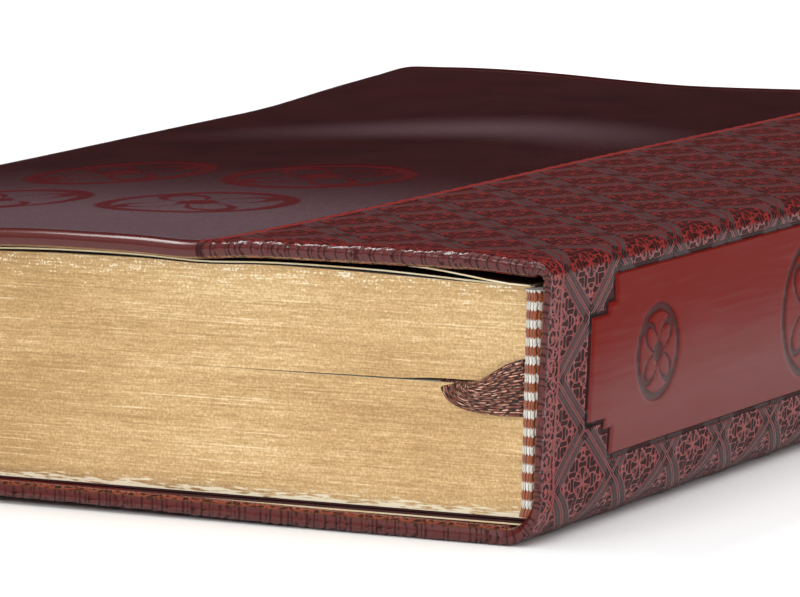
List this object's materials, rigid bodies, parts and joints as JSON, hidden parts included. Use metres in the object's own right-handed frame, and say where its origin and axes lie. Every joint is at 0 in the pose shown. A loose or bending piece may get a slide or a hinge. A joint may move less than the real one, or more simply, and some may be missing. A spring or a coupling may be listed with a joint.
{
  "type": "bible",
  "caption": "Leather-bound book of scripture with embossed flexible covers, gilt page edges, striped head bands and a ribbon marker; it opens flat at the ribbon.",
  "frame": {"origin": "middle of the closed book's underside, on the table, leaving out the ribbon that hangs from the tail edge", "axes": "+X to the spine, +Y from the head edge to the tail edge, +Z from the back cover up to the front cover"},
  "size_m": [0.14, 0.264, 0.034],
  "materials": {
    "burgundy_leather": "fine-grained, semi-gloss, embossed",
    "gilt_leaves": "stacked thin paper with gilded edges",
    "binders_board": "plain grey-brown card",
    "endpaper": "uncoated cream paper",
    "lining_cloth": "open-weave cotton",
    "sewing_thread": "linen thread",
    "band_thread": "white and rust silk wound over a core",
    "ribbon_satin": "woven copper-brown satin"
  },
  "bodies": {
    "back_cover": {"back_cover_leather": "burgundy_leather", "back_board": "binders_board", "back_infill": "binders_board", "back_pastedown": "endpaper", "back_flyleaf": "endpaper", "back_joint_leather": "burgundy_leather"},
    "spine": {"spine_leather": "burgundy_leather", "spine_inlay": "binders_board", "spine_lining": "lining_cloth", "sewing_threads": "sewing_thread", "head_band": "band_thread", "tail_band": "band_thread"},
    "front_joint": {"front_joint_leather": "burgundy_leather", "front_flyleaf": "endpaper"},
    "front_cover": {"front_cover_leather": "burgundy_leather", "front_board": "binders_board", "front_infill": "binders_board", "front_pastedown": "endpaper"},
    "rear_section_01": {"rear_section_01": "gilt_leaves"},
    "rear_section_02": {"rear_section_02": "gilt_leaves"},
    "rear_section_03": {"rear_section_03": "gilt_leaves"},
    "rear_section_04": {"rear_section_04": "gilt_leaves"},
    "rear_section_05": {"rear_section_05": "gilt_leaves"},
    "rear_section_06": {"rear_section_06": "gilt_leaves"},
    "rear_section_07": {"rear_section_07": "gilt_leaves"},
    "rear_section_08": {"rear_section_08": "gilt_leaves"},
    "rear_section_09": {"rear_section_09": "gilt_leaves"},
    "rear_section_10": {"rear_section_10": "gilt_leaves"},
    "rear_section_11": {"rear_section_11": "gilt_leaves"},
    "rear_section_12": {"rear_section_12": "gilt_leaves"},
    "rear_section_13": {"rear_section_13": "gilt_leaves"},
    "rear_section_14": {"rear_section_14": "gilt_leaves", "ribbon_head": "ribbon_satin", "ribbon_pages": "ribbon_satin", "ribbon_tail": "ribbon_satin"},
    "front_section_01": {"front_section_01": "gilt_leaves"},
    "front_section_02": {"front_section_02": "gilt_leaves"},
    "front_section_03": {"front_section_03": "gilt_leaves"},
    "front_section_04": {"front_section_04": "gilt_leaves"},
    "front_section_05": {"front_section_05": "gilt_leaves"},
    "front_section_06": {"front_section_06": "gilt_leaves"},
    "front_section_07": {"front_section_07": "gilt_leaves"},
    "front_section_08": {"front_section_08": "gilt_leaves"},
    "front_section_09": {"front_section_09": "gilt_leaves"},
    "front_section_10": {"front_section_10": "gilt_leaves"},
    "front_section_11": {"front_section_11": "gilt_leaves"},
    "front_section_12": {"front_section_12": "gilt_leaves"}
  },
  "joints": [
    {"name": "spine_fold", "type": "hinge", "parent": "back_cover", "child": "spine", "pos_m": [0.07015, 0, -0.00015], "axis": [0, 1, 0], "range_deg": [0, 90], "deforming": ["spine_lining", "sewing_threads", "head_band", "tail_band", "ribbon_head"]},
    {"name": "front_joint_fold", "type": "hinge", "parent": "spine", "child": "front_joint", "pos_m": [0.07015, 0, 0.03415], "axis": [0, 1, 0], "range_deg": [0, 90]},
    {"name": "front_cover_opening", "type": "hinge", "parent": "front_joint", "child": "front_cover", "pos_m": [0.07015, 0, 0.03415], "axis": [0, -1, 0], "range_deg": [-180, 0]},
    {"name": "rear_section_01_slide", "type": "slide", "parent": "back_cover", "child": "rear_section_01", "axis": [1, 0, 0], "range_m": [0, 0.00509]},
    {"name": "rear_section_02_slide", "type": "slide", "parent": "back_cover", "child": "rear_section_02", "axis": [1, 0, 0], "range_m": [0, 0.00623]},
    {"name": "rear_section_03_slide", "type": "slide", "parent": "back_cover", "child": "rear_section_03", "axis": [1, 0, 0], "range_m": [0, 0.00738]},
    {"name": "rear_section_04_slide", "type": "slide", "parent": "back_cover", "child": "rear_section_04", "axis": [1, 0, 0], "range_m": [0, 0.00852]},
    {"name": "rear_section_05_slide", "type": "slide", "parent": "back_cover", "child": "rear_section_05", "axis": [1, 0, 0], "range_m": [0, 0.00966]},
    {"name": "rear_section_06_slide", "type": "slide", "parent": "back_cover", "child": "rear_section_06", "axis": [1, 0, 0], "range_m": [0, 0.01081]},
    {"name": "rear_section_07_slide", "type": "slide", "parent": "back_cover", "child": "rear_section_07", "axis": [1, 0, 0], "range_m": [0, 0.01195]},
    {"name": "rear_section_08_slide", "type": "slide", "parent": "back_cover", "child": "rear_section_08", "axis": [1, 0, 0], "range_m": [0, 0.01309]},
    {"name": "rear_section_09_slide", "type": "slide", "parent": "back_cover", "child": "rear_section_09", "axis": [1, 0, 0], "range_m": [0, 0.01423]},
    {"name": "rear_section_10_slide", "type": "slide", "parent": "back_cover", "child": "rear_section_10", "axis": [1, 0, 0], "range_m": [0, 0.01538]},
    {"name": "rear_section_11_slide", "type": "slide", "parent": "back_cover", "child": "rear_section_11", "axis": [1, 0, 0], "range_m": [0, 0.01652]},
    {"name": "rear_section_12_slide", "type": "slide", "parent": "back_cover", "child": "rear_section_12", "axis": [1, 0, 0], "range_m": [0, 0.01766]},
    {"name": "rear_section_13_slide", "type": "slide", "parent": "back_cover", "child": "rear_section_13", "axis": [1, 0, 0], "range_m": [0, 0.01881]},
    {"name": "rear_section_14_slide", "type": "slide", "parent": "back_cover", "child": "rear_section_14", "axis": [1, 0, 0], "range_m": [0, 0.01995]},
    {"name": "front_section_01_turn", "type": "hinge", "parent": "spine", "child": "front_section_01", "pos_m": [0.06023, 0, 0.02423], "axis": [0, 1, 0], "range_deg": [0, 90]},
    {"name": "front_section_02_turn", "type": "hinge", "parent": "spine", "child": "front_section_02", "pos_m": [0.0609, 0, 0.0249], "axis": [0, 1, 0], "range_deg": [0, 90]},
    {"name": "front_section_03_turn", "type": "hinge", "parent": "spine", "child": "front_section_03", "pos_m": [0.06157, 0, 0.02557], "axis": [0, 1, 0], "range_deg": [0, 90]},
    {"name": "front_section_04_turn", "type": "hinge", "parent": "spine", "child": "front_section_04", "pos_m": [0.06223, 0, 0.02623], "axis": [0, 1, 0], "range_deg": [0, 90]},
    {"name": "front_section_05_turn", "type": "hinge", "parent": "spine", "child": "front_section_05", "pos_m": [0.0629, 0, 0.0269], "axis": [0, 1, 0], "range_deg": [0, 90]},
    {"name": "front_section_06_turn", "type": "hinge", "parent": "spine", "child": "front_section_06", "pos_m": [0.06357, 0, 0.02757], "axis": [0, 1, 0], "range_deg": [0, 90]},
    {"name": "front_section_07_turn", "type": "hinge", "parent": "spine", "child": "front_section_07", "pos_m": [0.06423, 0, 0.02823], "axis": [0, 1, 0], "range_deg": [0, 90]},
    {"name": "front_section_08_turn", "type": "hinge", "parent": "spine", "child": "front_section_08", "pos_m": [0.0649, 0, 0.0289], "axis": [0, 1, 0], "range_deg": [0, 90]},
    {"name": "front_section_09_turn", "type": "hinge", "parent": "spine", "child": "front_section_09", "pos_m": [0.06557, 0, 0.02957], "axis": [0, 1, 0], "range_deg": [0, 90]},
    {"name": "front_section_10_turn", "type": "hinge", "parent": "spine", "child": "front_section_10", "pos_m": [0.06623, 0, 0.03023], "axis": [0, 1, 0], "range_deg": [0, 90]},
    {"name": "front_section_11_turn", "type": "hinge", "parent": "spine", "child": "front_section_11", "pos_m": [0.0669, 0, 0.0309], "axis": [0, 1, 0], "range_deg": [0, 90]},
    {"name": "front_section_12_turn", "type": "hinge", "parent": "spine", "child": "front_section_12", "pos_m": [0.06757, 0, 0.03157], "axis": [0, 1, 0], "range_deg": [0, 90]}
  ],
  "couplings": [
    {"joint": "front_joint_fold", "follows": "spine_fold", "ratio": 1},
    {"joint": "rear_section_01_slide", "follows": "spine_fold", "m_per_rad": 0.0032286},
    {"joint": "rear_section_02_slide", "follows": "spine_fold", "m_per_rad": 0.0039561},
    {"joint": "rear_section_03_slide", "follows": "spine_fold", "m_per_rad": 0.0046837},
    {"joint": "rear_section_04_slide", "follows": "spine_fold", "m_per_rad": 0.0054113},
    {"joint": "rear_section_05_slide", "follows": "spine_fold", "m_per_rad": 0.0061388},
    {"joint": "rear_section_06_slide", "follows": "spine_fold", "m_per_rad": 0.0068664},
    {"joint": "rear_section_07_slide", "follows": "spine_fold", "m_per_rad": 0.007594},
    {"joint": "rear_section_08_slide", "follows": "spine_fold", "m_per_rad": 0.0083215},
    {"joint": "rear_section_09_slide", "follows": "spine_fold", "m_per_rad": 0.0090491},
    {"joint": "rear_section_10_slide", "follows": "spine_fold", "m_per_rad": 0.0097767},
    {"joint": "rear_section_11_slide", "follows": "spine_fold", "m_per_rad": 0.010504},
    {"joint": "rear_section_12_slide", "follows": "spine_fold", "m_per_rad": 0.011232},
    {"joint": "rear_section_13_slide", "follows": "spine_fold", "m_per_rad": 0.011959},
    {"joint": "rear_section_14_slide", "follows": "spine_fold", "m_per_rad": 0.012687},
    {"joint": "front_section_01_turn", "follows": "spine_fold", "ratio": 1},
    {"joint": "front_section_02_turn", "follows": "spine_fold", "ratio": 1},
    {"joint": "front_section_03_turn", "follows": "spine_fold", "ratio": 1},
    {"joint": "front_section_04_turn", "follows": "spine_fold", "ratio": 1},
    {"joint": "front_section_05_turn", "follows": "spine_fold", "ratio": 1},
    {"joint": "front_section_06_turn", "follows": "spine_fold", "ratio": 1},
    {"joint": "front_section_07_turn", "follows": "spine_fold", "ratio": 1},
    {"joint": "front_section_08_turn", "follows": "spine_fold", "ratio": 1},
    {"joint": "front_section_09_turn", "follows": "spine_fold", "ratio": 1},
    {"joint": "front_section_10_turn", "follows": "spine_fold", "ratio": 1},
    {"joint": "front_section_11_turn", "follows": "spine_fold", "ratio": 1},
    {"joint": "front_section_12_turn", "follows": "spine_fold", "ratio": 1}
  ]
}
